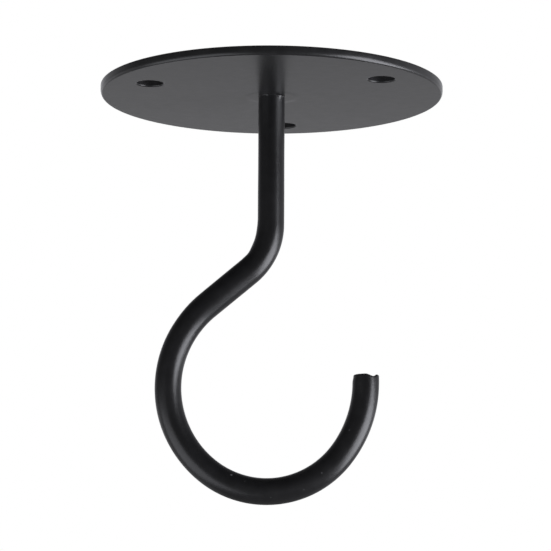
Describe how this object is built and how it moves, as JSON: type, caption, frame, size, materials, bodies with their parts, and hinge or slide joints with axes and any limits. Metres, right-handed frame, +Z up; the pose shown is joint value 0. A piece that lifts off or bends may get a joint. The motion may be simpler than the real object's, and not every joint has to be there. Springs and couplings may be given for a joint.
{
  "type": "plant hanger hook",
  "caption": "Ceiling hook for a hanging plant: a flat round screw plate with a bent round-bar hook riveted through its centre, all black powder coated.",
  "frame": {"origin": "centre of the plate's ceiling face, on the shank's centreline", "axes": "+Z up into the ceiling, +X towards the hook's open end, +Y across the plane in which the bar is bent"},
  "size_m": [0.0816, 0.0816, 0.0993],
  "materials": {
    "plate_coat": "satin black powder coat on sheet steel",
    "bar_coat": "satin black powder coat on round steel bar"
  },
  "bodies": {
    "root": {"ceiling_plate": "plate_coat", "hook_bar": "bar_coat"}
  },
  "joints": []
}
